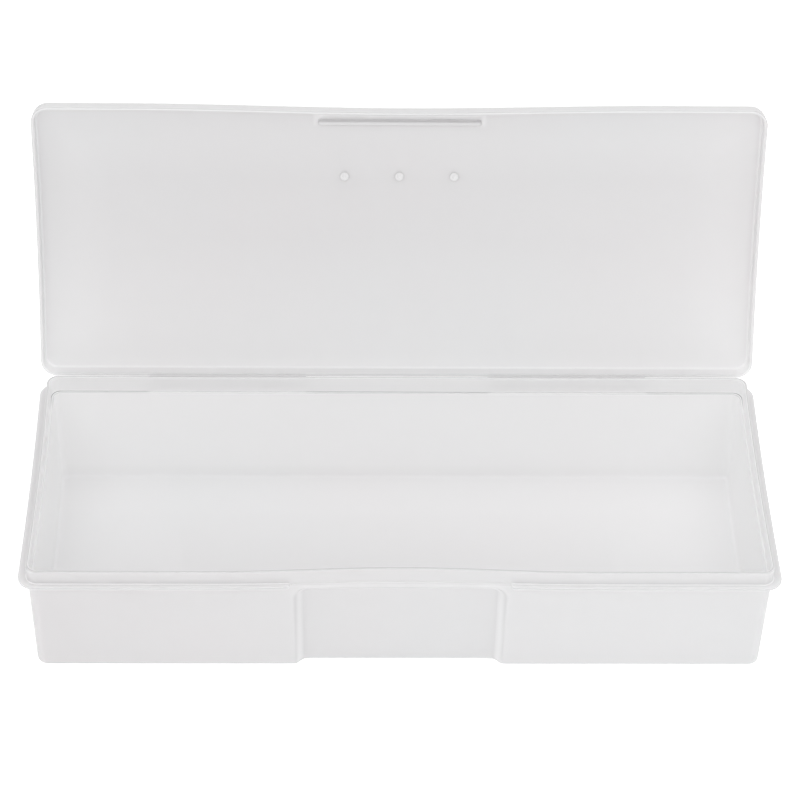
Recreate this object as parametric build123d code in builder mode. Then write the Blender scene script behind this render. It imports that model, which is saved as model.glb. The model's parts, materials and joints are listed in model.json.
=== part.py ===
"""Long one-piece polypropylene case with a living-hinged lid, standing open.

The origin is the centre of the underside. +X runs along the case, +Y runs from
the front to the hinge and +Z is up. The lid is built about the hinge axis in its
own plane, laid out as it lies when closed, and the plane is tilted back.
"""

import os
from math import cos, radians, sin, sqrt

from build123d import *

# Case
LENGTH = 195.2
DEPTH = 75.8
FLANGE_TOP = 32.9
FLANGE_THICKNESS = 0.85
CORNER_RADIUS = 4.3
SIDE_BOW = 0.45

# Walls of the tray, measured in from the edge of the flange
WALL = 1.2
SIDE_INSET_TOP = 2.5
FRONT_INSET_TOP = 1.5
INSET_AT_FLOOR = 2.7
WALL_CORNER_RADIUS = 3.8
FLOOR_EDGE_RADIUS = 1.6
CAVITY_CORNER_RADIUS = 2.8
CAVITY_EDGE_RADIUS = 1.0

# Raised rim that the lid closes over; inside it is thinner than the wall, down to a narrow ledge
RIM_HEIGHT = 4.2
RIM_WALL = 0.9
RIM_SIDE_INSET = 2.2
RIM_FRONT_INSET = 1.25
RIM_CORNER_RADIUS = 3.6
RIM_INNER_RADIUS = 2.7
LEDGE_DROP = 0.8

# The thin front wall is drawn inward around its middle
FRONT_BOW_HALF = 49.0
FRONT_BOW_AT_FLANGE = 0.9
FRONT_BOW_AT_RIM = 1.5

# Finger recess in the front wall, with sides and top sloping at 45 degrees
RECESS_HALF = 26.9
RECESS_DEPTH = 1.95
RECESS_TOP = FLANGE_TOP - 2.9
RECESS_CORNER_RADIUS = 5.0
RECESS_LEAD = 1.5
NOTCH_HALF = 28.1
NOTCH_DEPTH = 4.0
NOTCH_END_RADIUS = 1.2

# Lid
LID_OPEN_ANGLE = 110.5
SKIRT_HEIGHT = 4.2
SKIRT = 0.85
SKIRT_CLEARANCE = 0.1
PANEL = 1.0
PANEL_EDGE_RADIUS = 0.8
LID_INNER_EDGE_RADIUS = 0.4
LID_BOW = 1.0
LID_BOW_HALF = 72.0
GATE_SPACING = 14.7
GATE_RADIUS = 1.15
GATE_HEIGHT = 0.3
GATE_FROM_AXIS = 57.4

# Ridge that snaps in behind the front rim
RIDGE_HALF = 21.7
RIDGE_WIDTH = 1.5
RIDGE_HEIGHT = 1.5
RIDGE_FROM_AXIS = 72.5
RIDGE_EDGE_RADIUS = 0.5

# Living hinge: two thin straps
STRAP_THICKNESS = 0.4
STRAP_INNER = 25.0
STRAP_OUTER = 68.0

# The hinge axis runs behind the flange, level with its top face, and the closed lid's rear skirt
# reaches a little past the flange towards it
HINGE_SETBACK = 1.5
LID_REAR_OVERHANG = 0.3
FRONT = -DEPTH / 2
REAR = DEPTH / 2
AXIS_Y = REAR + HINGE_SETBACK
AXIS_Z = FLANGE_TOP
LID_REAR = LID_REAR_OVERHANG - HINGE_SETBACK
LID_FRONT = FRONT - AXIS_Y
PANEL_INSIDE = SKIRT_CLEARANCE + SKIRT_HEIGHT
RIM_TOP = FLANGE_TOP + RIM_HEIGHT
LEDGE_TOP = FLANGE_TOP - LEDGE_DROP

open_angle = radians(LID_OPEN_ANGLE)
lid_plane = Plane((0, AXIS_Y, AXIS_Z), x_dir=(1, 0, 0), z_dir=(0, sin(open_angle), cos(open_angle)))
lid_normal = Axis(lid_plane.origin, lid_plane.z_dir)
wall_face = FRONT + INSET_AT_FLOOR
recess_plane = Plane.back.offset(wall_face - RECESS_LEAD)


def bowed_outline(plane, side_inset, front, rear, radius, bow, bow_half):
    """Rounded rectangle whose sides are drawn in by SIDE_BOW, and its front edge by bow."""
    half = LENGTH / 2 - side_inset
    waist, middle = half - SIDE_BOW, (front + rear) / 2
    with BuildSketch(plane) as outline:
        with BuildLine():
            edge = Spline(
                (-bow_half, front),
                (-bow_half / 2, front + bow / 2),
                (0, front + bow),
                (bow_half / 2, front + bow / 2),
                (bow_half, front),
                tangents=[(1, 0), (1, 0)],
            )
            Line(edge @ 1, (half, front))
            ThreePointArc((half, front), (waist, middle), (half, rear))
            Line((half, rear), (-half, rear))
            ThreePointArc((-half, rear), (-waist, middle), (-half, front))
            Line((-half, front), edge @ 0)
        make_face()
        columns = outline.vertices().group_by(Axis.X)
        fillet(columns[0] + columns[-1], radius)
    return outline.sketch


def tray_section(height, side_inset, front_inset, radius, bow):
    """One level of the tray, its insets measured in from the edge of the flange."""
    level = Plane.XY.offset(height)
    return bowed_outline(
        level, side_inset, FRONT + front_inset, REAR - front_inset, radius, bow, FRONT_BOW_HALF
    )


def recess_profile(margin):
    """Front view of the recess, run on below the floor; margin widens it for the inner wall."""
    half = RECESS_HALF + RECESS_LEAD + margin
    top = RECESS_TOP + RECESS_LEAD + margin
    bottom = -2 * (RECESS_LEAD + RECESS_DEPTH + WALL)
    with BuildSketch(recess_plane) as profile:
        with Locations((0, (top + bottom) / 2)):
            Rectangle(2 * half, top - bottom)
        fillet(profile.vertices().group_by(Axis.Y)[-1], RECESS_CORNER_RADIUS)
    return profile.sketch


def lid_outline(height, inset):
    """One level of the lid, set in by a wall thickness."""
    level = lid_plane.offset(height)
    front, rear = LID_FRONT + inset, LID_REAR - inset
    return bowed_outline(level, inset, front, rear, CORNER_RADIUS - inset, LID_BOW, LID_BOW_HALF)


with BuildPart() as recess:
    extrude(recess_profile(0), amount=RECESS_LEAD + RECESS_DEPTH, taper=45)

with BuildPart() as recess_back:
    extrude(recess_profile(WALL * sqrt(2)), amount=RECESS_LEAD + RECESS_DEPTH + WALL, taper=45)

with BuildPart() as cavity:
    floor = tray_section(WALL, INSET_AT_FLOOR + WALL, INSET_AT_FLOOR + WALL, CAVITY_CORNER_RADIUS, 0)
    ledge = tray_section(
        LEDGE_TOP, SIDE_INSET_TOP + WALL, FRONT_INSET_TOP + WALL, CAVITY_CORNER_RADIUS, FRONT_BOW_AT_FLANGE
    )
    loft([floor, ledge])
    add(recess_back.part, mode=Mode.SUBTRACT)
    fillet(cavity.faces().sort_by(Axis.Z)[0].edges(), CAVITY_EDGE_RADIUS)
    side, front = RIM_SIDE_INSET + RIM_WALL, RIM_FRONT_INSET + RIM_WALL
    rim_foot = tray_section(LEDGE_TOP, side, front, RIM_INNER_RADIUS, FRONT_BOW_AT_FLANGE)
    rim_top = tray_section(RIM_TOP, side, front, RIM_INNER_RADIUS, FRONT_BOW_AT_RIM)
    loft([rim_foot, rim_top])

with BuildPart() as tray:
    floor = tray_section(0, INSET_AT_FLOOR, INSET_AT_FLOOR, WALL_CORNER_RADIUS, 0)
    wall_top = tray_section(
        FLANGE_TOP, SIDE_INSET_TOP, FRONT_INSET_TOP, WALL_CORNER_RADIUS, FRONT_BOW_AT_FLANGE
    )
    loft([floor, wall_top])
    add(recess.part, mode=Mode.SUBTRACT)
    fillet(tray.faces().sort_by(Axis.Z)[0].edges(), FLOOR_EDGE_RADIUS)
    with BuildSketch(Plane.XY.offset(FLANGE_TOP - FLANGE_THICKNESS)) as flange:
        add(bowed_outline(Plane.XY, 0, FRONT, REAR, CORNER_RADIUS, FRONT_BOW_AT_FLANGE, FRONT_BOW_HALF))
        with Locations((0, FRONT)):
            Rectangle(2 * NOTCH_HALF, 2 * NOTCH_DEPTH, mode=Mode.SUBTRACT)
        notch_corners = flange.vertices().filter_by(
            lambda corner: abs(abs(corner.X) - NOTCH_HALF) < 0.1 and corner.Y < FRONT + NOTCH_DEPTH / 2
        )
        fillet(notch_corners, NOTCH_END_RADIUS)
    extrude(amount=FLANGE_THICKNESS)
    rim_foot = tray_section(
        FLANGE_TOP, RIM_SIDE_INSET, RIM_FRONT_INSET, RIM_CORNER_RADIUS, FRONT_BOW_AT_FLANGE
    )
    rim_top = tray_section(RIM_TOP, RIM_SIDE_INSET, RIM_FRONT_INSET, RIM_CORNER_RADIUS, FRONT_BOW_AT_RIM)
    loft([rim_foot, rim_top])
    add(cavity.part, mode=Mode.SUBTRACT)

with BuildPart() as lid:
    extrude(lid_outline(SKIRT_CLEARANCE, 0), amount=SKIRT_HEIGHT + PANEL)
    fillet(lid.faces().sort_by(lid_normal)[-1].edges(), PANEL_EDGE_RADIUS)
    extrude(lid_outline(SKIRT_CLEARANCE, SKIRT), amount=SKIRT_HEIGHT, mode=Mode.SUBTRACT)
    panel_inner_face = lid.faces().filter_by(lid_normal).sort_by(SortBy.AREA)[-2]
    fillet(panel_inner_face.edges(), LID_INNER_EDGE_RADIUS)
    with BuildSketch(lid_plane.offset(PANEL_INSIDE - GATE_HEIGHT)):
        with Locations((0, -GATE_FROM_AXIS)):
            with GridLocations(GATE_SPACING, 0, 3, 1):
                Circle(GATE_RADIUS)
    extrude(amount=GATE_HEIGHT)

with BuildPart() as catch_ridge:
    with BuildSketch(lid_plane.offset(PANEL_INSIDE - RIDGE_HEIGHT)):
        with Locations((0, -RIDGE_FROM_AXIS)):
            Rectangle(2 * RIDGE_HALF, RIDGE_WIDTH)
    extrude(amount=RIDGE_HEIGHT)
    fillet(catch_ridge.faces().sort_by(lid_normal)[0].edges(), RIDGE_EDGE_RADIUS)


def strap(low_x):
    """Strap from the flange's rear edge to the foot of the lid's rear skirt, bent with the lid open."""
    lid_foot = lid_plane.from_local_coords((0, LID_REAR, SKIRT_CLEARANCE))
    lid_back = lid_plane.from_local_coords((0, LID_REAR, SKIRT_CLEARANCE + STRAP_THICKNESS))
    with BuildPart() as bent:
        with BuildSketch(Plane.YZ.offset(low_x)):
            with BuildLine():
                over = TangentArc((REAR, AXIS_Z), (lid_foot.Y, lid_foot.Z), tangent=(1, 0))
                under = TangentArc(
                    (REAR, AXIS_Z - STRAP_THICKNESS), (lid_back.Y, lid_back.Z), tangent=(1, 0)
                )
                Line(over @ 0, under @ 0)
                Line(over @ 1, under @ 1)
            make_face()
        extrude(amount=STRAP_OUTER - STRAP_INNER)
    return bent.part


pieces = {
    "tray": tray.part,
    "lid": lid.part,
    "catch_ridge": catch_ridge.part,
    "left_hinge_strap": strap(-STRAP_OUTER),
    "right_hinge_strap": strap(STRAP_INNER),
}

os.makedirs("parts", exist_ok=True)
for name, piece in pieces.items():
    piece.label = name
    export_step(piece, f"parts/{name}.step")
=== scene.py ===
"""Frosted polypropylene case with a living-hinged lid, standing open on a white studio table."""

import json
from math import copysign, cos, exp, pi, radians, sin, sqrt

import bmesh
import bpy
from mathutils import Matrix, Vector


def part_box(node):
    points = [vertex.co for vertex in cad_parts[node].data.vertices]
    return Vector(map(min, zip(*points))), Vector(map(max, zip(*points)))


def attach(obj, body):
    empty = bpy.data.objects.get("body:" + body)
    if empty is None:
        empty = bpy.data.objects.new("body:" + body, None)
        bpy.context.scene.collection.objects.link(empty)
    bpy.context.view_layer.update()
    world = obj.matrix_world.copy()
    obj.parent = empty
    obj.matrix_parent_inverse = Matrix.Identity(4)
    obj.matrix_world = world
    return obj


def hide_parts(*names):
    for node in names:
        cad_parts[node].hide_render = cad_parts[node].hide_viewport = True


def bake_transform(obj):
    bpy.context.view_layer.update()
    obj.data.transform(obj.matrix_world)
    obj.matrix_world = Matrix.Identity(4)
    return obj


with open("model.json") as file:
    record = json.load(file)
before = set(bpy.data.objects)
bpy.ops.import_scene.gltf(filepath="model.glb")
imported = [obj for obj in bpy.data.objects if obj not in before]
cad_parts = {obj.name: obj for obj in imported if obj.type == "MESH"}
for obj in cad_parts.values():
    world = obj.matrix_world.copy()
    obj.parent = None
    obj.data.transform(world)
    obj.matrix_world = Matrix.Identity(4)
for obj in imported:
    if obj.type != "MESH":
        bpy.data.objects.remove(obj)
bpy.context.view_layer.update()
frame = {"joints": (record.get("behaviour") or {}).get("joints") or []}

MM = 0.001

# Places that come from the CAD model
tray_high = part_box("tray")[1]
HALF_LENGTH = tray_high.x
HALF_DEPTH = tray_high.y
RIM_TOP = tray_high.z
hinge = frame["joints"][0]
HINGE_AXIS = Vector(hinge["pos_m"])
CLOSED_ANGLE = radians(hinge["range_deg"][1])
strap_boxes = [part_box(name) for name in ("left_hinge_strap", "right_hinge_strap")]
STRAP_SPANS = [(low.x, high.x) for low, high in strap_boxes]

# Tray
CORNER_RADIUS = 4.3 * MM
SIDE_BOW = 0.45 * MM
RADIUS_PER_INSET = 0.6
LEAST_RADIUS = 1.0 * MM
RIM_HEIGHT = 4.2 * MM
FLANGE_TOP = RIM_TOP - RIM_HEIGHT
LEDGE_TOP = FLANGE_TOP - 0.8 * MM
FLANGE = 0.85 * MM
# Heights down the flange's tip between which its painted shadow line is at full strength
FLANGE_TIP_SHADE = (0.38 * FLANGE, 0.82 * FLANGE)
WALL = 1.2 * MM
RIM_WALL = 0.9 * MM
SIDE_RIM_INSET = 2.2 * MM
FRONT_RIM_INSET = 1.25 * MM
SIDE_WALL_INSET = 2.5 * MM
FRONT_WALL_INSET = 1.5 * MM
FOOT_INSET = 2.7 * MM
FOOT_RADIUS = 1.6 * MM
FLOOR_EDGE_INSET = 10.0 * MM

# Heights of the rows of points up the walls, close together round the recess's top
WALL_ROWS = [height * MM for height in (3, 6, 10, 14, 18, 21, 23.5)]
RECESS_TOP_ROWS = [(25 + 0.35 * step) * MM for step in range(19)]

# Where the flat faces of tray and lid begin, the middle line that closes them, and how near
# two points lie that become one
FLAT_INSET = 20.0 * MM
SPINE_HALF = 60.0 * MM
MERGE_DISTANCE = 0.0005 * MM

# Places of the points along a long edge, in millimetres: (first, spacing, count)
EVEN_PLACES = (0.0, 2.5, 37)
RECESS_END_PLACES = (22.5, 0.3, 27)
STRAP_END_PLACES = (66.5, 0.3, 11)
NOTCH_ROUND_STEPS = 6
BESIDE_NOTCH = 0.02
PLACE_DIGITS = 3

# Places up to FIXED_SPAN are the same on every ring; those beyond it move with the corner
FIXED_SPAN = 72 * MM
CORNER_STEPS = 8
SIDE_STEPS = 14
PROFILE_STEPS = 5

# Front wall: inward bow, finger recess and the notch in the flange above it
BOW_HALF = 49.0 * MM
BOW_AT_FLANGE = 0.9 * MM
BOW_AT_RIM = 1.5 * MM
RECESS_HALF = 26.9 * MM
RECESS_DEPTH = 1.95 * MM
RECESS_TOP = FLANGE_TOP - 2.9 * MM
RECESS_CORNER = 3.5 * MM
RECESS_BLEND = 0.5 * MM
WALL_BLEND = RECESS_BLEND / 2
BLEND_TAIL = RECESS_BLEND / 40
NOTCH_HALF = 28.1 * MM
NOTCH_ROUND = 1.2 * MM
NOTCH_INSET = 1.2 * MM
NOTCH_MARGIN = 0.01 * MM
FLANGE_TOP_MARGIN = 0.001 * MM

# Lid, in its own closed frame about the hinge axis
LID_FRONT = -HALF_DEPTH - HINGE_AXIS.y
LID_REAR = -1.2 * MM
SKIRT = 0.85 * MM
SKIRT_FOOT = 0.1 * MM
SKIRT_HEIGHT = 4.2 * MM
PANEL = 1.0 * MM
PANEL_EDGE_INSET = 5.5 * MM
POCKET_INSET = 4.0 * MM
LID_BOW = 1.0 * MM
LID_BOW_HALF = 72.0 * MM
PANEL_INSIDE = SKIRT_FOOT + SKIRT_HEIGHT
LID_TOP = PANEL_INSIDE + PANEL

# Catch ridge across the lid's panel
RIDGE_HALF = 21.7 * MM
RIDGE_WIDTH = 1.5 * MM
RIDGE_HEIGHT = 1.5 * MM
RIDGE_DRAFT = 0.25 * MM
RIDGE_ROUND = 0.45 * MM
RIDGE_END_ROUND = 0.7 * MM
RIDGE_END_SIZE = 0.55
RIDGE_END_STEPS = 6
RIDGE_FROM_AXIS = 72.5 * MM

# Gate marks: low discs with a dimple
GATE_SPACING = 14.7 * MM
GATE_FROM_AXIS = 57.4 * MM
GATE_RADIUS = 1.15 * MM
GATE_HEIGHT = 0.2 * MM
GATE_TURNS = 32
DIMPLE_RADIUS = 0.5 * GATE_RADIUS
DIMPLE_FLOOR_RADIUS = 0.35 * GATE_RADIUS
DIMPLE_MIDDLE_RADIUS = 0.05 * GATE_RADIUS
DIMPLE_FLOOR_HEIGHT = 0.3 * GATE_HEIGHT

# How far the ridge and the gate marks reach into the panel
SUNK_FOOT = 0.1 * MM

# Hinge straps
STRAP_THICKNESS = 0.4 * MM
STRAP_BITE = 0.25 * MM
STRAP_BELOW_FLANGE = 0.02 * MM
STRAP_END_ROUND = 0.35 * MM
STRAP_STEPS = 14
STRAP_END_STEPS = 4
STRAP_COLUMNS = 12

# Painted shade lines, partly for thicker plastic, and painted light that pales the plastic by place
# Painted shade line along the recess's outline, strongest along its top
RECESS_SIDE_SHADE = 0.2
RECESS_TOP_SHADE = 1.0
RECESS_SHADE_WIDTH = 0.4 * MM
# Where the painted shade lines at the ledge, the notch, the lid's lip and the straps reach and fade
LEDGE_REACH = 0.3 * MM
LEDGE_FADE = 0.4
LEDGE_BESIDE = 0.15
NOTCH_FADE = 0.8
LIP_AT_FREE_EDGE = 0.9
STRAP_FADE = 1.5 * MM
# Painted light: how much paler each place is drawn, standing in for light and against shade
PAINTED_LIGHT_OUTSIDE = 0.18
PAINTED_LIGHT_SIDEWAYS = 0.06
PAINTED_LIGHT_SLOPE = 0.2
PAINTED_LIGHT_RIM = 0.85
PAINTED_LIGHT_FLOOR = 0.58
PAINTED_LIGHT_FLOOR_ENDS = 0.23
PAINTED_LIGHT_FLOOR_REAR = 0.3
PAINTED_LIGHT_WALL = 0.82
PAINTED_LIGHT_WALL_ENDS = 0.18
PAINTED_LIGHT_RISE = 3.0 * MM
PAINTED_LIGHT_LID_HINGE = 0.47
PAINTED_LIGHT_LID_FREE = 0.2
PAINTED_LIGHT_LID_ENDS = 0.14
PAINTED_LIGHT_LIP = 0.45
PAINTED_LIGHT_POCKET = 0.4
PAINTED_LIGHT_LID_SIDEWAYS = 0.04
PAINTED_LIGHT_STRAP = 1.0
PAINTED_LIGHT_RIDGE = 0.5
PAINTED_LIGHT_GATE_MARK = 0.6
SCATTER_LENGTH = 4.0 * MM
# Plastic with no painted light, with full painted light, and in the painted shade lines
PLASTIC_WITHOUT_PAINTED_LIGHT = (0.56, 0.557, 0.56, 1)
PLASTIC_WITH_PAINTED_LIGHT = (0.97, 0.97, 0.97, 1)
THICK_AND_SHADED_PLASTIC = (0.4, 0.4, 0.405, 1)

# Finish of the plastic: (scale, detail) of each noise
CLOUD_NOISE = (14.0, 3.0)
WARM_CLOUD = (1.0, 0.985, 0.99, 1)
COOL_CLOUD = (0.99, 0.995, 1.0, 1)
CLOUD_RANGE = (0.3, 0.7)
GRAIN_NOISE = (2200.0, 2.0)
GRAIN_STRENGTH = 0.06
GRAIN_HEIGHT = 0.0002
POLISH_NOISE = (45.0, 4.0)
ROUGHNESS_RANGE = (0.34, 0.5)
PLASTIC_IOR = 1.49

# Studio
WHITE = (1, 1, 1, 1)
PAPER_WHITE = (0.95, 0.95, 0.95, 1)
PAPER_ROUGHNESS = 0.9
PAPER_GLOW = 0.4
TOOTH_SCALE = 900.0
TOOTH_STRENGTH = 0.03
TOOTH_HEIGHT = 0.0001
FLOOR_HALF = 6.0
FLOOR_BELOW = 0.05 * MM
SKY_STRENGTH = 0.55
SOFTBOXES = (
    # name, place, (width, height), power in watts
    ("front_softbox", (0.0, -1.1, 0.9), (1.4, 0.9), 5.5),
    ("top_softbox", (0.0, 0.1, 1.4), (1.4, 1.0), 3.5),
    ("left_softbox", (-1.3, -0.2, 0.6), (0.9, 0.9), 1.9),
    ("right_softbox", (1.3, -0.2, 0.6), (0.9, 0.9), 1.0),
)
CAMERA_PLACE = (-0.01448, -0.50641, 0.53912)
CAMERA_TURN = (46.756, -0.929, -0.734)
CAMERA_LENS = 122.05
CAMERA_SENSOR = 36.0
CAMERA_NEAR = 0.01

lid_frame = Matrix.Translation(HINGE_AXIS) @ Matrix.Rotation(-CLOSED_ANGLE, 4, "X")
lid_foot = lid_frame @ Vector((0, LID_REAR, SKIRT_FOOT))


def bow(x, half):
    """Share of the inward bow at a place along the front edge."""
    return cos(pi * x / half / 2) ** 2 if abs(x) < half else 0.0


def soft_max(a, b, blend):
    """The larger of two values, rounded off where they cross."""
    return (a + b + sqrt((a - b) ** 2 + blend**2)) / 2


def soft_min(a, b, blend):
    """The smaller of two values, rounded off where they cross."""
    return -soft_max(-a, -b, blend)


def rounded_profile(corners):
    """Section through (inset, height, radius, edge) corners, each rounded off.

    Returns (inset, height, edge) points, where edge says how much darker painted shade, partly for
    thicker plastic, makes a lip than a plain wall, up to 1, or below 0 how much paler painted light
    makes it.
    """
    points = []
    for i, (inset, height, radius, edge) in enumerate(corners):
        here = Vector((inset, height))
        if not radius:
            points.append((inset, height, edge))
            continue
        start = here + (Vector(corners[i - 1][:2]) - here).normalized() * radius
        end = here + (Vector(corners[i + 1][:2]) - here).normalized() * radius
        for step in range(PROFILE_STEPS + 1):
            t = step / PROFILE_STEPS
            place = start * (1 - t) ** 2 + here * 2 * t * (1 - t) + end * t**2
            points.append((place.x, place.y, edge * sqrt(4 * t * (1 - t))))
    return points


def with_rows(points, after, heights):
    """The profile with more rows on the straight run that starts at index after."""
    (inset_a, height_a, _), (inset_b, height_b, _) = points[after], points[after + 1]
    rows = []
    for height in heights:
        t = (height - height_a) / (height_b - height_a)
        if 0 < t < 1:
            rows.append((inset_a + (inset_b - inset_a) * t, height, 0.0))
    rows.sort(key=lambda row: abs(row[1] - height_a))
    return points[: after + 1] + rows + points[after + 1 :]


def stations():
    """Places along a long edge, crowded where the recess, the notch and the straps end."""
    places = set()
    for first, spacing, count in (EVEN_PLACES, RECESS_END_PLACES, STRAP_END_PLACES):
        places |= {round(first + step * spacing, PLACE_DIGITS) for step in range(count)}
    notch_round = NOTCH_ROUND / MM
    notch_end = NOTCH_HALF / MM
    for step in range(NOTCH_ROUND_STEPS + 1):
        beyond = notch_round * (1 - sin(pi / 2 * step / NOTCH_ROUND_STEPS))
        places.add(round(notch_end + beyond, PLACE_DIGITS))
    places.add(notch_end - BESIDE_NOTCH)
    right = sorted(place * MM for place in places)
    return [-x for x in reversed(right[1:])] + right


LONG_EDGE = stations()


def outline(half_x, front, rear, radius):
    """Points round a rounded rectangle, along its front edge from the left and then on round."""
    flat = half_x - radius
    last = LONG_EDGE[-1]

    def along(x):
        if abs(x) <= FIXED_SPAN:
            return x
        share = (abs(x) - FIXED_SPAN) / (last - FIXED_SPAN)
        return copysign(FIXED_SPAN + share * (flat - FIXED_SPAN), x)

    def corner(centre_x, centre_y, start):
        turns = [start + pi / 2 * step / CORNER_STEPS for step in range(1, CORNER_STEPS)]
        return [(centre_x + radius * cos(turn), centre_y + radius * sin(turn)) for turn in turns]

    straight = rear - front - 2 * radius
    side = [front + radius + straight * step / SIDE_STEPS for step in range(SIDE_STEPS + 1)]
    points = [(along(x), front) for x in LONG_EDGE]
    points += corner(flat, front + radius, -pi / 2)
    points += [(half_x, y) for y in side]
    points += corner(flat, rear - radius, 0)
    points += [(along(x), rear) for x in reversed(LONG_EDGE)]
    points += corner(-flat, rear - radius, pi / 2)
    points += [(-half_x, y) for y in reversed(side)]
    points += corner(-flat, front + radius, pi)

    middle, reach = (front + rear) / 2, (rear - front) / 2
    drawn_in = [SIDE_BOW * (1 - ((y - middle) / reach) ** 2) for _, y in points]
    return [(x - copysign(inward, x), y) for (x, y), inward in zip(points, drawn_in)]


def add_mesh(name, vertices, faces, attributes):
    """A mesh object with outward faces, smooth shading and its values per point as attributes."""
    mesh = bpy.data.meshes.new(name)
    mesh.from_pydata(vertices, [], faces)
    for attribute_name, values in attributes.items():
        attribute = mesh.attributes.new(attribute_name, "FLOAT", "POINT")
        attribute.data.foreach_set("value", values)
    shell = bmesh.new()
    shell.from_mesh(mesh)
    bmesh.ops.remove_doubles(shell, verts=shell.verts, dist=MERGE_DISTANCE)
    bmesh.ops.recalc_face_normals(shell, faces=shell.faces)
    shell.to_mesh(mesh)
    shell.free()
    mesh.shade_smooth()
    piece = bpy.data.objects.new(name, mesh)
    bpy.context.collection.objects.link(piece)
    weighted = piece.modifiers.new("even shading", "WEIGHTED_NORMAL")
    weighted.keep_sharp = True
    return piece


def shell_from_rings(name, rings, thickness_and_shade_rings, painted_light_rings, place=Matrix.Identity(4), capped=True):
    """A closed shell through rings of points; flat faces close it where the end rings stay open."""
    count = len(rings[0])
    vertices = [place @ Vector(point) for ring in rings for point in ring]
    faces = []
    for low in range(0, (len(rings) - 1) * count, count):
        for i in range(count):
            j = (i + 1) % count
            faces.append((low + i, low + j, low + count + j, low + count + i))
    if capped:
        last = (len(rings) - 1) * count
        faces.append(tuple(range(count)))
        faces.append(tuple(range(last, last + count)))
    # Per point: painted shade lines, partly for thicker plastic, and painted light
    attributes = {
        "thickness_and_painted_shade": [thickness_and_shade for ring in thickness_and_shade_rings for thickness_and_shade in ring],
        "painted_light": [painted_light for ring in painted_light_rings for painted_light in ring],
    }
    return add_mesh(name, vertices, faces, attributes)


def spine(ring, middle):
    """The ring drawn together onto its middle line, which closes a flat face without a seam."""
    return [(max(-SPINE_HALF, min(SPINE_HALF, x)), middle, z) for x, _, z in ring]


def front_bow(x, z):
    """Inward bow of the tray's front wall, none at the floor and most at the rim."""
    if z < FLANGE_TOP:
        amount = BOW_AT_FLANGE * max(z, 0) / FLANGE_TOP
    else:
        amount = BOW_AT_FLANGE + (BOW_AT_RIM - BOW_AT_FLANGE) * (z - FLANGE_TOP) / RIM_HEIGHT
    return amount * bow(x, BOW_HALF)


def recess_slope(x, z):
    """How far inside the recess's outline a point lies, its top corners rounded."""
    from_side = RECESS_HALF - abs(x)
    from_top = RECESS_TOP - z
    to_side, to_top = RECESS_CORNER - from_side, RECESS_CORNER - from_top
    if to_side > 0 and to_top > 0:
        return RECESS_CORNER - sqrt(to_side**2 + to_top**2)
    return min(from_side, from_top)


def recess_push(x, z, wall, thickness):
    """How far the recess moves a face of the front wall inward; the outer face has thickness 0."""
    slope = FOOT_INSET + recess_slope(x, z) + thickness * sqrt(2)
    face = soft_min(slope, FOOT_INSET + RECESS_DEPTH + thickness, RECESS_BLEND)
    # BLEND_TAIL takes off what the rounded maximum adds on the plain wall beside the recess
    return max(soft_max(wall, face, WALL_BLEND) - wall - BLEND_TAIL, 0)


def notch_inset(x):
    """Least inset of the flange's edge, so that the flange stops at the notch with rounded ends."""
    beyond = NOTCH_HALF + NOTCH_ROUND - abs(x)
    if beyond <= 0:
        return 0.0
    if abs(x) < NOTCH_HALF - NOTCH_MARGIN:
        return NOTCH_INSET
    return NOTCH_ROUND - sqrt(max(NOTCH_ROUND**2 - beyond**2, 0))


def tray_profile(rim, wall):
    """Section of the tray from its floor over the rim to its underside.

    Each corner is (inset, height, radius, edge), with edge as in rounded_profile.
    """
    # Edge values paint shade: lines at the ledge, rim and foot partly for thicker plastic, on the
    # flange's tip for the shadow under it; the crease above the flange gets painted light against
    # its shade
    profile = [
        (FLAT_INSET, WALL, 0, 0),
        (FLOOR_EDGE_INSET, WALL, 0, 0),
        (FOOT_INSET + WALL, WALL, 1.2 * MM, 0),
        (wall + WALL, LEDGE_TOP, 0.22 * MM, 0.5),
        (rim + RIM_WALL, LEDGE_TOP, 0.18 * MM, 1.0),
        (rim + RIM_WALL, RIM_TOP, 0.25 * MM, 0.3),
        (rim + RIM_WALL / 2, RIM_TOP, 0, 0.5),
        (rim, RIM_TOP, 0.25 * MM, 0.25),
        (rim, FLANGE_TOP, 0.25 * MM, -0.75),
        (0, FLANGE_TOP, 0.3 * MM, 0.35),
        (0, FLANGE_TOP - FLANGE_TIP_SHADE[0], 0, 1.0),
        (0, FLANGE_TOP - FLANGE_TIP_SHADE[1], 0, 1.0),
        (0, FLANGE_TOP - FLANGE, 0.12 * MM, 1.0),
        (wall, FLANGE_TOP - FLANGE, 0.25 * MM, 0.5),
        (FOOT_INSET, 0, FOOT_RADIUS, 0.25),
        (FLAT_INSET, 0, 0, 0),
    ]
    points = rounded_profile(profile)
    # The inner and the outer face of the wall are the only runs much higher than the rim
    rises = [abs(points[i + 1][1] - points[i][1]) for i in range(len(points) - 1)]
    walls = [i for i, rise in enumerate(rises) if rise > RIM_HEIGHT * 2]
    for start in reversed(walls):
        points = with_rows(points, start, WALL_ROWS + RECESS_TOP_ROWS)
    return points


def above_foot(z):
    """0 underneath and 1 above the rounded foot, so that a line on the wall ends at its foot."""
    return min(max(z / FOOT_RADIUS, 0), 1)


def strap_share(x):
    """1 where a strap joins the flange's rear edge, 0 beside it, with a soft change between."""
    low, high = STRAP_SPANS[1]
    beside = max(low - abs(x), abs(x) - high)
    return min(max(0.5 - beside / STRAP_FADE, 0), 1)


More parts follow.
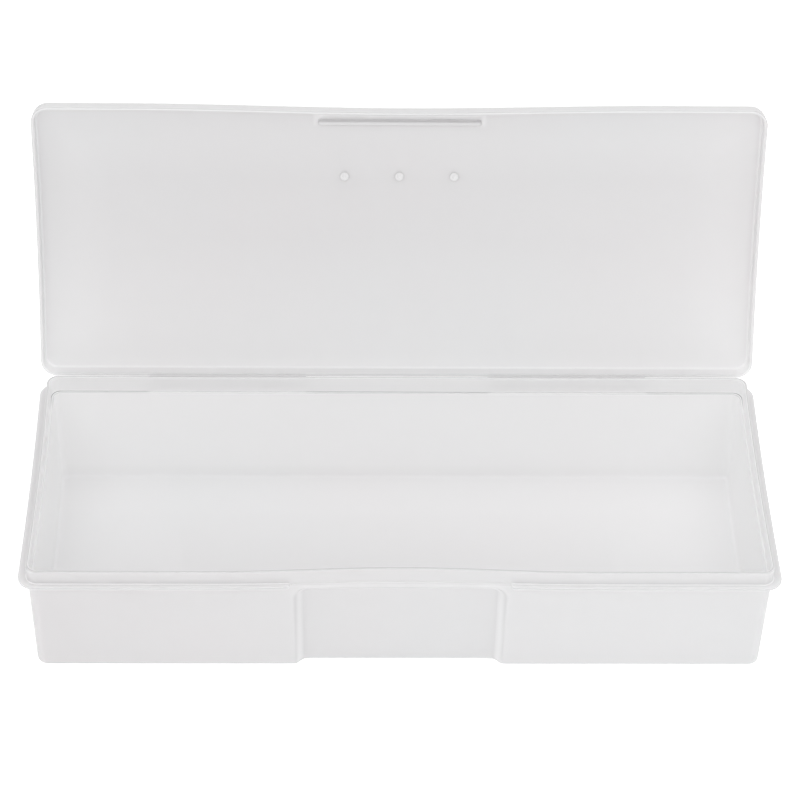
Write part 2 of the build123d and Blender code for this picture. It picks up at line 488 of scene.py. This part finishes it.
def tray_painted_light(x, y, z, inside):
    """Painted light, standing in for light and against shade: least outside, more on the floor and
    most up the inner walls, paler towards the right and on the recess's slope.
    """
    across = x / HALF_LENGTH
    if not inside:
        slope = recess_slope(x, z) / RECESS_DEPTH if y < 0 and z < FLANGE_TOP - FLANGE else 0
        on_slope = above_foot(z) * sqrt(max(1 - abs(2 * slope - 1), 0))
        return PAINTED_LIGHT_OUTSIDE + PAINTED_LIGHT_SIDEWAYS * across + PAINTED_LIGHT_SLOPE * on_slope
    if z > FLANGE_TOP:
        return PAINTED_LIGHT_RIM + PAINTED_LIGHT_SIDEWAYS * across
    up = min(max((z - WALL) / PAINTED_LIGHT_RISE, 0), 1)
    rearward = min(max(1 - (HALF_DEPTH - FLOOR_EDGE_INSET - y) / FLOOR_EDGE_INSET, 0), 1)
    toward_wall = max(up, PAINTED_LIGHT_FLOOR_REAR * rearward)
    floor = PAINTED_LIGHT_FLOOR + PAINTED_LIGHT_FLOOR_ENDS * across**2 + PAINTED_LIGHT_SIDEWAYS * across
    wall = PAINTED_LIGHT_WALL + PAINTED_LIGHT_WALL_ENDS * across**6
    return floor + (wall - floor) * toward_wall


def recess_shade_line(x, z):
    """How dark the painted shade line along the recess's outline is on the front wall's outer face.
    """
    strength = RECESS_TOP_SHADE if RECESS_TOP - z < RECESS_HALF - abs(x) else RECESS_SIDE_SHADE
    return strength * exp(-((recess_slope(x, z) / RECESS_SHADE_WIDTH) ** 2)) * above_foot(z)


def front_shift(x, z, inset, inside, on_flange, by_recess):
    """How far the notch, the bow and the recess together move a point of the front edge inward."""
    shift = max(notch_inset(x) - inset, 0) if on_flange else 0
    shift += front_bow(x, z)
    if by_recess:
        thickness = WALL if inside else 0
        share = min(z, FLANGE_TOP) / FLANGE_TOP
        wall = FOOT_INSET + (FRONT_WALL_INSET - FOOT_INSET) * share + front_bow(x, z)
        shift += recess_push(x, z, wall + thickness, thickness)
    return shift


def close_flat_faces(rings, thickness_and_shade_rings, painted_light_rings, middle):
    """Adds the spines of the first and the last ring, with the same painted shade and painted
    light.
    """
    for where, end in ((0, 0), (len(rings) + 1, -1)):
        rings.insert(where, spine(rings[end], middle))
        thickness_and_shade_rings.insert(where, thickness_and_shade_rings[end])
        painted_light_rings.insert(where, painted_light_rings[end])


def build_tray():
    """The tray's shell, lofted through rings that follow its section."""
    side_profile = tray_profile(SIDE_RIM_INSET, SIDE_WALL_INSET)
    front_profile = tray_profile(FRONT_RIM_INSET, FRONT_WALL_INSET)
    top = max(range(len(front_profile)), key=lambda i: front_profile[i][1])
    rings, thickness_and_shade_rings, painted_light_rings = [], [], []
    for level, ((side, _, edge), (front, z, _)) in enumerate(zip(side_profile, front_profile)):
        radius = max(CORNER_RADIUS - RADIUS_PER_INSET * side, LEAST_RADIUS)
        places = outline(HALF_LENGTH - side, -HALF_DEPTH + front, HALF_DEPTH - front, radius)
        inside = level <= top
        is_ledge = inside and abs(z - LEDGE_TOP) < LEDGE_REACH
        on_flange = not inside and front < NOTCH_INSET and z <= FLANGE_TOP + FLANGE_TOP_MARGIN
        by_recess = z < FLANGE_TOP - FLANGE / 2 and front < FLAT_INSET
        ring, ring_thickness_and_shade, ring_painted_light = [], [], []
        for i, (x, y) in enumerate(places):
            # Edge above 0 is painted shade, partly for thicker plastic, below 0 painted light
            thickness_and_shade, extra_painted_light = max(edge, 0), max(-edge, 0)
            # The ledge's painted shade line, weaker where a strap joins and faint along the sides
            # and front
            if is_ledge:
                behind = y > HALF_DEPTH - 2 * CORNER_RADIUS
                thickness_and_shade *= 1 - LEDGE_FADE * strap_share(x) if behind else LEDGE_BESIDE
            if i < len(LONG_EDGE):
                y += front_shift(x, z, front, inside, on_flange, by_recess)
                # In the notch the crease's painted light and the flange's painted shade fade; the
                # recess's outline gets a painted shade line
                in_notch = notch_inset(x) / NOTCH_INSET
                extra_painted_light *= 1 - in_notch
                if on_flange:
                    thickness_and_shade *= 1 - NOTCH_FADE * in_notch
                if by_recess and not inside:
                    thickness_and_shade = max(thickness_and_shade, recess_shade_line(x, z))
            ring.append((x, y, z))
            ring_thickness_and_shade.append(thickness_and_shade)
            ring_painted_light.append(tray_painted_light(x, y, z, inside) + extra_painted_light)
        rings.append(ring)
        thickness_and_shade_rings.append(ring_thickness_and_shade)
        painted_light_rings.append(ring_painted_light)
    close_flat_faces(rings, thickness_and_shade_rings, painted_light_rings, 0)
    return shell_from_rings("tray_shell", rings, thickness_and_shade_rings, painted_light_rings, capped=False)


def lid_painted_light(x, y):
    """Painted light on the lid: more towards the hinge, the right and the edges than in the middle.
    """
    along, across = y / LID_FRONT, x / HALF_LENGTH
    near_edges = PAINTED_LIGHT_LID_FREE * along**6 + PAINTED_LIGHT_LID_ENDS * across**10
    return PAINTED_LIGHT_LID_HINGE * (1 - along) ** 2 + PAINTED_LIGHT_LID_SIDEWAYS * across + near_edges


def end_share(x):
    """1 at the left and right ends of the case, 0 along its length, with a soft change between."""
    return min(max((abs(x) - HALF_LENGTH + CORNER_RADIUS) / (CORNER_RADIUS - SKIRT), 0), 1)


def pocket_share(x, y):
    """1 on the panel between the catch ridge and the free edge, 0 away from it."""
    beside = (abs(x) - RIDGE_HALF) / RIDGE_WIDTH
    return min(max(1 - beside, 0), 1) if y < -RIDGE_FROM_AXIS else 0


def build_lid():
    """The lid's shell, lofted through rings that follow its section."""
    # Edge values: painted light in the skirt's inner corner against its shade; painted shade lines
    # along the lip, partly for thicker plastic
    profile = rounded_profile(
        [
            (FLAT_INSET, PANEL_INSIDE, 0, 0),
            (PANEL_EDGE_INSET, PANEL_INSIDE, 0, 0),
            (POCKET_INSET, PANEL_INSIDE, 0, 0),
            (SKIRT, PANEL_INSIDE, 0.6 * MM, -0.15),
            (SKIRT, SKIRT_FOOT, 0.3 * MM, 0.05),
            (0, SKIRT_FOOT, 0.3 * MM, 0.5),
            (0, LID_TOP, 0.8 * MM, 0.3),
            (FLAT_INSET, LID_TOP, 0, 0),
        ]
    )
    rings, thickness_and_shade_rings, painted_light_rings = [], [], []
    for inset, height, edge in profile:
        radius = max(CORNER_RADIUS - inset, LEAST_RADIUS)
        # Painted light in the pocket under the lip and on the lip, against the shade there
        in_pocket = PAINTED_LIGHT_POCKET if SKIRT < inset < FLAT_INSET and height > SKIRT_HEIGHT / 2 else 0
        on_lip = PAINTED_LIGHT_LIP if inset < SKIRT / 2 else 0
        ring, ring_thickness_and_shade, ring_painted_light = [], [], []
        places = outline(HALF_LENGTH - inset, LID_FRONT + inset, LID_REAR - inset, radius)
        for i, (x, y) in enumerate(places):
            if i < len(LONG_EDGE):
                y += LID_BOW * bow(x, LID_BOW_HALF)
            # The lip's painted shade lines are a little weaker along the free edge
            lip = LIP_AT_FREE_EDGE + (1 - LIP_AT_FREE_EDGE) * end_share(x)
            painted_light = lid_painted_light(x, y) + on_lip * (1 - end_share(x)) + in_pocket * pocket_share(x, y)
            ring.append((x, y, height))
            ring_thickness_and_shade.append(max(edge, 0) * lip)
            ring_painted_light.append(painted_light + max(-edge, 0))
        rings.append(ring)
        thickness_and_shade_rings.append(ring_thickness_and_shade)
        painted_light_rings.append(ring_painted_light)
    close_flat_faces(rings, thickness_and_shade_rings, painted_light_rings, (LID_FRONT + LID_REAR) / 2)
    for end in (0, -1):
        painted_light_rings[end] = [lid_painted_light(x, y) for x, y, _ in rings[end]]
    return shell_from_rings("lid_shell", rings, thickness_and_shade_rings, painted_light_rings, lid_frame, capped=False)


def build_catch_ridge():
    """Bar with a rounded top, its foot sunk a little into the panel."""
    section = rounded_profile(
        [
            (-RIDGE_WIDTH / 2, SUNK_FOOT, 0, -0.4),
            (-RIDGE_WIDTH / 2, SUNK_FOOT / 2, 0, -0.4),
            (-RIDGE_WIDTH / 2 + RIDGE_DRAFT, -RIDGE_HEIGHT, RIDGE_ROUND, 0),
            (RIDGE_WIDTH / 2 - RIDGE_DRAFT, -RIDGE_HEIGHT, RIDGE_ROUND, 0),
            (RIDGE_WIDTH / 2, SUNK_FOOT / 2, 0, 0),
            (RIDGE_WIDTH / 2, SUNK_FOOT, 0, 0),
        ]
    )
    centre = -RIDGE_FROM_AXIS
    sections = []
    for step in range(RIDGE_END_STEPS + 1):
        angle = pi / 2 * step / RIDGE_END_STEPS
        size = RIDGE_END_SIZE + (1 - RIDGE_END_SIZE) * sin(angle)
        sections.append((-RIDGE_HALF + RIDGE_END_ROUND * (1 - cos(angle)), size))
    sections += [(-x, size) for x, size in reversed(sections)]
    rings = []
    for x, size in sections:
        heights = [PANEL_INSIDE + (up * size if up < 0 else up) for _, up, _ in section]
        rings.append([(x, centre + point[0] * size, z) for point, z in zip(section, heights)])
    # No painted shade lines on the bar; painted light, more at its foot, against the shade beside
    # the lid's lip
    thickness_and_shade_rings = [[max(edge, 0) for _, _, edge in section] for _ in sections]
    painted_light_rings = [[PAINTED_LIGHT_RIDGE - min(edge, 0) for _, _, edge in section] for _ in sections]
    return shell_from_rings("catch_ridge_bar", rings, thickness_and_shade_rings, painted_light_rings, lid_frame)


def build_gate_mark(name, x):
    """Low disc with a dimple, left where the moulding was fed."""
    section = rounded_profile(
        [
            (GATE_RADIUS, SUNK_FOOT, 0, 0),
            (GATE_RADIUS, SUNK_FOOT / 2, 0, 0),
            (GATE_RADIUS, -GATE_HEIGHT, 0.15 * MM, 0),
            (DIMPLE_RADIUS, -GATE_HEIGHT, 0.1 * MM, 0),
            (DIMPLE_FLOOR_RADIUS, -DIMPLE_FLOOR_HEIGHT, 0.08 * MM, 0),
            (DIMPLE_MIDDLE_RADIUS, -DIMPLE_FLOOR_HEIGHT, 0, 0),
        ]
    )
    centre = -GATE_FROM_AXIS
    turns = [2 * pi * step / GATE_TURNS for step in range(GATE_TURNS)]
    rings = [
        [(x + size * cos(turn), centre + size * sin(turn), PANEL_INSIDE + up) for turn in turns]
        for size, up, _ in section
    ]
    # No painted shade lines; painted light on the marks against their shade
    thickness_and_shade_rings = [[edge] * len(turns) for _, _, edge in section]
    painted_light_rings = [[PAINTED_LIGHT_GATE_MARK] * len(turns) for _ in section]
    return shell_from_rings(name, rings, thickness_and_shade_rings, painted_light_rings, lid_frame)


def build_strap(name, low_x, high_x):
    """Thin web from the flange's rear edge to the lid's foot, bent as it is with the lid open."""
    turn = pi - CLOSED_ANGLE
    start = Vector((HALF_DEPTH, FLANGE_TOP))
    end = Vector((lid_foot.y, lid_foot.z))
    radius = (end - start).length / (2 * sin(turn / 2))
    rows = [(Vector((start.x - STRAP_BITE, start.y)), Vector((0, 1)))]
    for step in range(STRAP_STEPS + 1):
        angle = turn * step / STRAP_STEPS
        place = start + Vector((radius * sin(angle), radius * (1 - cos(angle))))
        rows.append((place, Vector((-sin(angle), cos(angle)))))
    rows.append((rows[-1][0] + Vector((cos(turn), sin(turn))) * STRAP_BITE, rows[-1][1]))
    angles = [pi / 2 * step / STRAP_END_STEPS for step in range(STRAP_END_STEPS + 1)]
    left_end = [low_x + STRAP_END_ROUND * (1 - cos(angle)) for angle in angles]
    width = high_x - low_x
    middle = [low_x + width * step / STRAP_COLUMNS for step in range(1, STRAP_COLUMNS)]
    columns = left_end + middle + [low_x + high_x - x for x in reversed(left_end)]
    rings = []
    for place, up in rows:
        over = place - up * STRAP_BELOW_FLANGE
        under = place - up * STRAP_THICKNESS
        top_row = [(x, over.x, over.y) for x in columns]
        bottom_row = [(x, under.x, under.y) for x in reversed(columns)]
        rings.append(top_row + bottom_row)
    # No painted shade lines; painted light on the straps against their shade
    thickness_and_shade_rings = [[0.0] * len(ring) for ring in rings]
    painted_light_rings = [[PAINTED_LIGHT_STRAP] * len(ring) for ring in rings]
    return shell_from_rings(name, rings, thickness_and_shade_rings, painted_light_rings)


def frosted_plastic(name, scattering):
    """Natural polypropylene: paler where painted light is laid on, darker along painted shade lines
    partly for thicker plastic, with random clouds of tint, and frosted by the mould.
    """
    material = bpy.data.materials.new(name)
    material.use_nodes = True
    nodes, links = material.node_tree.nodes, material.node_tree.links
    place = nodes.new("ShaderNodeTexCoord")

    def value_of(attribute_name):
        attribute = nodes.new("ShaderNodeAttribute")
        attribute.attribute_name = attribute_name
        return attribute.outputs["Fac"]

    def noise(scale, detail):
        texture = nodes.new("ShaderNodeTexNoise")
        texture.inputs["Scale"].default_value = scale
        texture.inputs["Detail"].default_value = detail
        links.new(place.outputs["Object"], texture.inputs["Vector"])
        return texture.outputs["Fac"]

    def mix(factor, first, second, blend="MIX"):
        node = nodes.new("ShaderNodeMix")
        node.data_type = "RGBA"
        node.blend_type = blend
        for socket, source in (("Factor", factor), ("A", first), ("B", second)):
            if isinstance(source, (tuple, float)):
                node.inputs[socket].default_value = source
            else:
                links.new(source, node.inputs[socket])
        return node.outputs["Result"]

    # Painted light pales the plastic by place; random clouds tint it
    painted_light = mix(value_of("painted_light"), PLASTIC_WITHOUT_PAINTED_LIGHT, PLASTIC_WITH_PAINTED_LIGHT)
    clouds = nodes.new("ShaderNodeValToRGB")
    for element, position, color in zip(
        clouds.color_ramp.elements, CLOUD_RANGE, (WARM_CLOUD, COOL_CLOUD)
    ):
        element.position = position
        element.color = color
    links.new(noise(*CLOUD_NOISE), clouds.inputs["Fac"])
    cloudy = mix(1.0, painted_light, clouds.outputs["Color"], "MULTIPLY")
    # Painted shade lines, partly for thicker plastic, darken it
    lined = mix(value_of("thickness_and_painted_shade"), cloudy, THICK_AND_SHADED_PLASTIC)

    bump = nodes.new("ShaderNodeBump")
    bump.inputs["Strength"].default_value = GRAIN_STRENGTH
    bump.inputs["Distance"].default_value = GRAIN_HEIGHT
    links.new(noise(*GRAIN_NOISE), bump.inputs["Height"])
    polish = nodes.new("ShaderNodeMapRange")
    polish.inputs["To Min"].default_value, polish.inputs["To Max"].default_value = ROUGHNESS_RANGE
    links.new(noise(*POLISH_NOISE), polish.inputs["Value"])

    skin = nodes["Principled BSDF"]
    skin.inputs["IOR"].default_value = PLASTIC_IOR
    skin.inputs["Subsurface Weight"].default_value = scattering
    skin.inputs["Subsurface Radius"].default_value = (1, 1, 1)
    skin.inputs["Subsurface Scale"].default_value = SCATTER_LENGTH
    links.new(lined, skin.inputs["Base Color"])
    links.new(polish.outputs["Result"], skin.inputs["Roughness"])
    links.new(bump.outputs["Normal"], skin.inputs["Normal"])
    return material


def table_paper():
    """Bright white studio paper with a faint tooth."""
    material = bpy.data.materials.new("studio_paper")
    material.use_nodes = True
    nodes, links = material.node_tree.nodes, material.node_tree.links
    paper = nodes["Principled BSDF"]
    paper.inputs["Base Color"].default_value = PAPER_WHITE
    paper.inputs["Roughness"].default_value = PAPER_ROUGHNESS
    paper.inputs["Emission Color"].default_value = WHITE
    paper.inputs["Emission Strength"].default_value = PAPER_GLOW
    tooth = nodes.new("ShaderNodeTexNoise")
    tooth.inputs["Scale"].default_value = TOOTH_SCALE
    bump = nodes.new("ShaderNodeBump")
    bump.inputs["Strength"].default_value = TOOTH_STRENGTH
    bump.inputs["Distance"].default_value = TOOTH_HEIGHT
    links.new(tooth.outputs["Fac"], bump.inputs["Height"])
    links.new(bump.outputs["Normal"], paper.inputs["Normal"])
    return material


def add_floor():
    """The studio table, a little below the tray's underside."""
    mesh = bpy.data.meshes.new("floor")
    corners = [(-FLOOR_HALF, -FLOOR_HALF), (FLOOR_HALF, -FLOOR_HALF)]
    corners += [(-x, -y) for x, y in corners]
    mesh.from_pydata([(x, y, -FLOOR_BELOW) for x, y in corners], [], [(0, 1, 2, 3)])
    floor = bpy.data.objects.new("floor", mesh)
    bpy.context.collection.objects.link(floor)
    mesh.materials.append(table_paper())


def add_softbox(name, place, size, power):
    """A rectangular area light that faces the case."""
    light = bpy.data.lights.new(name, "AREA")
    light.shape = "RECTANGLE"
    light.size, light.size_y = size
    light.energy = power
    lamp = bpy.data.objects.new(name, light)
    lamp.location = place
    lamp.rotation_euler = (-Vector(place)).to_track_quat("-Z", "Y").to_euler()
    bpy.context.collection.objects.link(lamp)


def add_lights():
    """Soft white studio light from all round, with four softboxes."""
    world = bpy.data.worlds.new("studio")
    world.use_nodes = True
    sky = world.node_tree.nodes["Background"]
    sky.inputs["Color"].default_value = WHITE
    sky.inputs["Strength"].default_value = SKY_STRENGTH
    bpy.context.scene.world = world
    for softbox in SOFTBOXES:
        add_softbox(*softbox)


def add_camera():
    """The camera that looks down on the open case from in front."""
    camera_data = bpy.data.cameras.new("camera")
    camera_data.sensor_width = CAMERA_SENSOR
    camera_data.lens = CAMERA_LENS
    camera_data.clip_start = CAMERA_NEAR
    camera = bpy.data.objects.new("camera", camera_data)
    camera.location = CAMERA_PLACE
    camera.rotation_euler = [radians(turn) for turn in CAMERA_TURN]
    bpy.context.collection.objects.link(camera)
    bpy.context.scene.camera = camera


def finish_piece(piece, plastic):
    """Gives a piece its material."""
    piece.data.materials.append(plastic)


shell_plastic = frosted_plastic("cloudy_polypropylene", 1.0)
detail_plastic = frosted_plastic("cloudy_polypropylene_detail", 0.0)

tray = build_tray()
finish_piece(tray, shell_plastic)
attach(tray, "tray_body")
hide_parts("tray")

lid = build_lid()
finish_piece(lid, shell_plastic)
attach(lid, "lid_body")
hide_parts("lid")

ridge = build_catch_ridge()
finish_piece(ridge, detail_plastic)
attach(ridge, "lid_body")
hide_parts("catch_ridge")

for name, side in (("gate_mark_left", -1), ("gate_mark_middle", 0), ("gate_mark_right", 1)):
    mark = build_gate_mark(name, side * GATE_SPACING)
    finish_piece(mark, detail_plastic)
    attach(mark, "lid_body")

for side, (low_x, high_x) in zip(("left", "right"), STRAP_SPANS):
    strap = build_strap(f"{side}_strap_web", low_x, high_x)
    finish_piece(strap, detail_plastic)
    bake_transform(strap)
    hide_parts(f"{side}_hinge_strap")

add_floor()
add_lights()
add_camera()
bpy.context.scene.view_settings.view_transform = "Standard"
